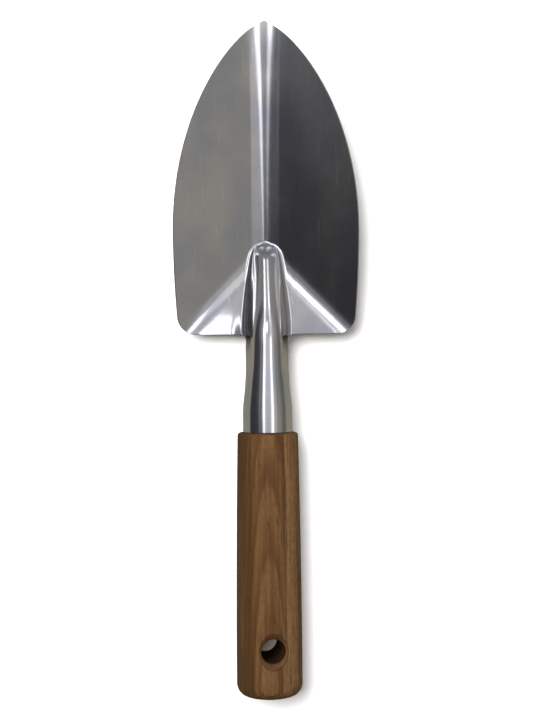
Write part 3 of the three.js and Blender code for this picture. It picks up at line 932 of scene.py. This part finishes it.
WOOD = {
    "dull": (0.077, 0.036, 0.0125),
    "warm": (0.113, 0.058, 0.023),
    "late_rings": (0.056, 0.021, 0.0072),
    # Painted shade for the grip's left side and painted light for its right side.
    "painted_left_shade": (0.036, 0.018, 0.006),
    "painted_right_light": (0.235, 0.128, 0.054),
    "dark_streaks": (0.038, 0.016, 0.0055),
    "pale_streaks": (0.165, 0.092, 0.04),
    "mottle": (0.056, 0.026, 0.009),
    "pores": (0.026, 0.012, 0.005),
    "long_pores": (0.03, 0.014, 0.006),
    "rims": (0.05, 0.022, 0.008),
    "bevel": (0.06, 0.026, 0.011),
    "bevel_line": (0.022, 0.01, 0.004),
    # Painted shade, nearly black, down the hanging hole's wall.
    "painted_bore_shade": (0.014, 0.007, 0.003),
}
# Where the painted shade on the left side and the painted light on the right side fade in, in metres
# across the grip, and how far their edge wavers.
LEFT_SHADE_FADE = (-0.0015, -0.0045)
RIGHT_LIGHT_FADE = (0.0085, 0.0135)
EDGE_WAVER = 0.009


def oiled_wood(name, groups):
    """Open-grained brown hardwood: arched growth rings and short dark pores. Painted shade darkens the
    left side of the grip and painted light brightens its right side. The rims and the hanging hole are
    darker, and the hole's wall is painted nearly black as shade."""
    material, graph, shader, place = new_material(name)
    rings = graph.use(groups["growth_rings"], {"Place": place})
    late = graph.fit(rings["Ring"], 0.2, 0.86)
    late = graph.math("MULTIPLY", late, graph.fit(rings["Ring"], 1.0, 0.86))
    streaks = graph.grain(place, 0.022, 520.0, 5.0, 0.7)
    broad = graph.grain(place, 0.06, 130.0, 3.0)
    mottle = graph.grain(place, 0.45, 900.0, 4.0, 0.6)
    short = {"Place": place, "Fineness": 1500.0, "Stretch": 0.07}
    long = {"Place": place, "Fineness": 620.0, "Stretch": 0.045}
    pores = graph.use(groups["pores"], short)["Pores"]
    long_pores = graph.use(groups["pores"], long)["Pores"]

    axes = graph.add("ShaderNodeSeparateXYZ", {0: place}).outputs
    waver = graph.math("MULTIPLY", graph.grain(place, 0.15, 60.0, 3.0, 0.55), EDGE_WAVER)
    from_left = graph.math("ADD", axes["X"], waver)
    near_shoulder = graph.fit(axes["Y"], (SHOULDER_Y - 1.6) * MM, (SHOULDER_Y - 0.3) * MM)
    near_butt = graph.fit(axes["Y"], (BUTT_Y + 3.5) * MM, (BUTT_Y + 0.6) * MM)
    hole = graph.use(groups["hole_marks_and_shade"], {"Place": place})

    base = graph.blend(graph.fit(broad, 0.36, 0.64), WOOD["dull"], WOOD["warm"])
    for colour, mask, share in (
            ("late_rings", late, 0.72),
            # Painted shade down the left side and painted light down the right, set by position across
            # the grip.
            ("painted_left_shade", graph.fit(from_left, *LEFT_SHADE_FADE), 0.7),
            ("painted_right_light", graph.fit(from_left, *RIGHT_LIGHT_FADE), 0.75),
            ("dark_streaks", graph.fit(streaks, 0.47, 0.68), 0.85),
            ("pale_streaks", graph.fit(streaks, 0.48, 0.25), 0.45),
            ("mottle", graph.fit(mottle, 0.35, 0.7), 0.35),
            ("pores", pores, 0.8),
            ("long_pores", long_pores, 0.75),
            ("rims", graph.math("MAXIMUM", near_shoulder, near_butt), 0.45),
            ("bevel", hole["Rim"], 0.5),
            ("bevel_line", hole["Line"], 0.6),
            # The hole's wall is painted nearly black as shade.
            ("painted_bore_shade", hole["Bore_Shade"], 0.85)):
        base = graph.blend(graph.math("MULTIPLY", mask, share), base, WOOD[colour])
    graph.feed(shader.inputs["Base Color"], base)

    graph.feed(shader.inputs["Roughness"], graph.fit(streaks, 0.3, 0.8, 0.52, 0.7))
    shader.inputs["Specular IOR Level"].default_value = 0.14
    height = graph.math("ADD", graph.math("MULTIPLY", late, 0.3), graph.math("ADD", pores, long_pores))
    height = graph.math("SUBTRACT", graph.math("MULTIPLY", streaks, 0.5), height)
    bump = graph.add("ShaderNodeBump", {"Strength": 0.4, "Distance": 0.0001, "Height": height})
    graph.feed(shader.inputs["Normal"], bump.outputs["Normal"])
    return material


def paint(piece, material):
    piece.data.materials.clear()
    piece.data.materials.append(material)


# ---- Bench, light and camera -------------------------------------------------------------------------

# The room's brightness by direction. Each row is for one angle ahead (towards the tip) from
# straight up, and holds (angle to the right from straight up, brightness). The two long softboxes
# are the bright runs near -18 and 23 degrees.
FAR_LEFT = [(-90, 0.06), (-62, 0.06)]
FAR_RIGHT = [(60, 0.31), (72, 0.2), (90, 0.12)]
ROOM = [
    (-9, [(-90, 0.045), (-46, 0.04), (-30, 0.055), (5, 0.07), (14, 0.1), (19, 0.3), (26, 0.3),
          (31, 0.33), (42, 0.36), (46, 0.31)] + FAR_RIGHT),
    (-4, [(-90, 0.05), (-46, 0.05), (-34, 0.08), (-26, 0.14), (-10, 0.18), (14, 0.22), (18, 0.8),
          (26, 0.8), (30, 0.4), (34, 0.48), (42, 0.48), (46, 0.31)] + FAR_RIGHT),
    (0, FAR_LEFT + [(-46, 0.065), (-38, 0.17), (-34, 0.11), (-26, 0.18), (-23, 1.0), (-12, 1.0),
                    (-10, 0.4), (16, 0.5), (19, 2.4), (27, 2.4), (30, 0.5), (34, 0.58), (42, 0.55),
                    (46, 0.31)] + FAR_RIGHT),
    (3, FAR_LEFT + [(-46, 0.08), (-38, 0.42), (-34, 0.2), (-25, 0.25), (-22, 3.0), (-14, 3.0),
                    (-12, 0.95), (16, 0.95), (19, 2.4), (27, 2.4), (30, 0.5), (34, 0.65),
                    (42, 0.58), (46, 0.31)] + FAR_RIGHT),
    (7, FAR_LEFT + [(-46, 0.12), (-38, 0.35), (-34, 0.25), (-25, 0.3), (-22, 3.4), (-14, 3.4),
                    (-12, 0.8), (16, 0.8), (19, 2.6), (27, 2.6), (30, 0.45), (42, 0.5),
                    (46, 0.31)] + FAR_RIGHT),
    (13, FAR_LEFT + [(-46, 0.2), (-36, 0.35), (-24, 0.6), (-22, 4), (-14, 4), (-12, 0.6),
                     (15, 0.6), (18, 0.9), (31, 0.9), (34, 0.6), (42, 0.45)] + FAR_RIGHT),
    (22, FAR_LEFT + [(-46, 0.2), (-36, 0.35), (-24, 0.6), (-22, 4.5), (-15, 4.5), (-13, 0.6),
                     (-6, 0.6), (-4, 6), (0, 6), (2, 0.6), (15, 0.6), (18, 0.9), (31, 0.9),
                     (34, 0.6), (42, 0.45)] + FAR_RIGHT),
    (30, FAR_LEFT + [(-36, 0.3), (-22, 0.5), (-20, 3.8), (-14, 3.8), (-12, 0.6), (-4, 0.6),
                     (-3, 6), (0, 6), (2, 0.6), (15, 0.6), (18, 1.1), (30, 1.1),
                     (33, 0.5)] + FAR_RIGHT),
    (34, FAR_LEFT + [(-36, 0.3), (-22, 0.5), (-20, 2.4), (-14, 2.4), (-12, 0.6), (2, 0.6),
                     (5, 0.52), (15, 0.52), (18, 1.3), (30, 1.3), (33, 0.5)] + FAR_RIGHT),
    (50, FAR_LEFT + [(-25, 0.2), (-23, 2), (-13, 2), (-11, 0.6), (16, 0.6), (19, 1.6), (29, 1.6),
                     (31, 0.4)] + FAR_RIGHT),
    (57, FAR_LEFT + [(-25, 0.2), (-23, 4.5), (-13, 4.5), (-11, 0.6), (16, 0.55), (19, 3), (29, 3),
                     (31, 0.35)] + FAR_RIGHT),
    (60, FAR_LEFT + [(-25, 0.2), (-23, 3.5), (-13, 3.5), (-11, 0.5), (16, 0.45), (19, 2.2),
                     (29, 2.2), (31, 0.3)] + FAR_RIGHT),
    (63, [(-90, 0.25), (-30, 0.34), (30, 0.34), (90, 0.25)]),
    (85, [(-90, 0.3), (90, 0.3)]),
]
BRIGHTEST = 8
COOL, WARM = (0.955, 0.965, 1.045), (1.03, 1.0, 0.955)
WARM_FROM = 36
BELOW_HORIZON = 0.35
BACKDROP = (0.95, 0.95, 0.95, 1)

BENCH_SIZE = 8
BENCH_PALE = (0.95, 0.95, 0.94, 1)
BENCH_KHAKI = (0.19, 0.18, 0.145, 1)
BENCH_GLOW = (1.0, 0.75, 0.48, 1)
BENCH_GLOW_STRENGTH = 0.06


def bench():
    """A wide pale bench. It looks pale but lights the steel's sides as a dull khaki cloth would."""
    bpy.ops.object.select_all(action="DESELECT")
    bpy.ops.mesh.primitive_plane_add(size=BENCH_SIZE, location=(0, 0, 0))
    floor = new_piece("bench")
    material = bpy.data.materials.new("bench_top")
    material.use_nodes = True
    graph = Graph(material.node_tree)
    graph.tree.nodes.remove(graph.tree.nodes["Principled BSDF"])
    matt = graph.add("ShaderNodeBsdfDiffuse", {"Color": BENCH_PALE}).outputs[0]
    inputs = {"Color": BENCH_GLOW, "Strength": BENCH_GLOW_STRENGTH}
    glow = graph.add("ShaderNodeEmission", inputs).outputs[0]
    seen = graph.add("ShaderNodeAddShader", {0: matt, 1: glow}).outputs[0]
    reflected = graph.add("ShaderNodeBsdfDiffuse", {"Color": BENCH_KHAKI}).outputs[0]
    ray = graph.add("ShaderNodeLightPath").outputs["Is Camera Ray"]
    mixed = graph.add("ShaderNodeMixShader", {0: ray, 1: reflected, 2: seen})
    graph.feed(graph.tree.nodes["Material Output"].inputs["Surface"], mixed.outputs[0])
    paint(floor, material)
    return floor


def room():
    """Two long softboxes overhead in a pale room that darkens towards the handle's side."""
    world = bpy.data.worlds.new("room")
    bpy.context.scene.world = world
    world.use_nodes = True
    graph = Graph(world.node_tree)
    graph.tree.nodes.clear()
    direction = graph.add("ShaderNodeTexCoord").outputs["Generated"]
    axes = graph.add("ShaderNodeSeparateXYZ", {0: direction}).outputs
    across = graph.math("DIVIDE", graph.math("ARCTAN2", axes["X"], axes["Z"]), math.pi)
    share = graph.math("ADD", across, 0.5)
    ahead = graph.math("MULTIPLY", graph.math("ARCTAN2", axes["Y"], axes["Z"]), math.degrees(1))
    shade, last_row = None, None
    for degrees, stops in ROOM:
        ramp = graph.add("ShaderNodeValToRGB", {"Fac": share})
        elements = ramp.color_ramp.elements
        while len(elements) < len(stops):
            elements.new(0.5)
        for element, (side, value) in zip(elements, stops):
            tint = WARM if side > WARM_FROM else COOL
            element.position = side / 180 + 0.5
            element.color = (*(value * channel / BRIGHTEST for channel in tint), 1)
        colour = ramp.outputs["Color"]
        if shade is None:
            shade = colour
        else:
            shade = graph.blend(graph.fit(ahead, last_row, degrees), shade, colour)
        last_row = degrees
    low = (BELOW_HORIZON / BRIGHTEST,) * 3
    shade = graph.blend(graph.fit(axes["Z"], 0.0, -0.02), shade, low)
    light = graph.add("ShaderNodeBackground", {"Color": shade, "Strength": BRIGHTEST}).outputs[0]
    backdrop = graph.add("ShaderNodeBackground", {"Color": BACKDROP, "Strength": 1.0}).outputs[0]
    ray = graph.add("ShaderNodeLightPath").outputs["Is Camera Ray"]
    mixed = graph.add("ShaderNodeMixShader", {0: ray, 1: light, 2: backdrop})
    graph.feed(graph.add("ShaderNodeOutputWorld").inputs["Surface"], mixed.outputs[0])


LAMP_PLACE = Vector((-0.52, 0.46, 1.35))
LAMP_SIZE = 1.1
LAMP_POWER = 40.0


def soft_lamp():
    """A big soft lamp up on the left, kept out of the steel's reflections."""
    light = bpy.data.lights.new("soft_lamp", "AREA")
    light.shape = "DISK"
    light.size = LAMP_SIZE
    light.energy = LAMP_POWER
    lamp = bpy.data.objects.new("soft_lamp", light)
    lamp.visible_glossy = False
    turn = LAMP_PLACE.to_track_quat("Z", "Y").to_matrix().to_4x4()
    lamp.matrix_world = Matrix.Translation(LAMP_PLACE) @ turn
    bpy.context.scene.collection.objects.link(lamp)


CAMERA_PLACE = Vector((-15, -1.5, 600))
CAMERA_TARGET = Vector((1.35, -1.5, 13))
CAMERA_LENS = 66.33
CAMERA_TURN = math.radians(-0.49)


def camera():
    """Looks straight down from a little to the left, with the tip at the top of the picture."""
    data = bpy.data.cameras.new("camera")
    data.sensor_width = 36
    data.lens = CAMERA_LENS
    stand = bpy.data.objects.new("camera", data)
    back = (CAMERA_PLACE - CAMERA_TARGET).normalized()
    right = Vector((0, 1, 0)).cross(back).normalized()
    axes = Matrix((right, back.cross(right), back)).transposed() @ Matrix.Rotation(CAMERA_TURN, 3, "Z")
    stand.matrix_world = Matrix.Translation(CAMERA_PLACE * MM) @ axes.to_4x4()
    bpy.context.scene.collection.objects.link(stand)
    bpy.context.scene.camera = stand


# ---- Everything together -----------------------------------------------------------------------------

groups = {"hairlines": hairline_group(), "smudges": smudge_group(), "growth_rings": ring_group(),
          "pores": pore_group(), "hole_marks_and_shade": hole_group()}
steel = polished_steel("polished_stainless", groups, (0.56, 0.57, 0.61), (0.685, 0.665, 0.635),
                       roughness=0.14, fineness=900.0)
nail_steel = polished_steel("nail_steel", groups, (0.5, 0.5, 0.5), (0.48, 0.465, 0.44),
                            roughness=0.28, fineness=1600.0)
wood = oiled_wood("oiled_wood", groups)

for make, node, slot, material in (
        (press_blade, "blade", "stainless", steel),
        (turn_handle, "handle", "oiled_wood", wood),
        (make_nail, "nail", "nail_steel", nail_steel)):
    piece = make()
    paint(piece, material)
    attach(piece, "root")
    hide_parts(node)

bench()
room()
soft_lamp()
camera()

bpy.context.scene.view_settings.view_transform = "Standard"
bpy.context.scene.view_settings.look = "None"
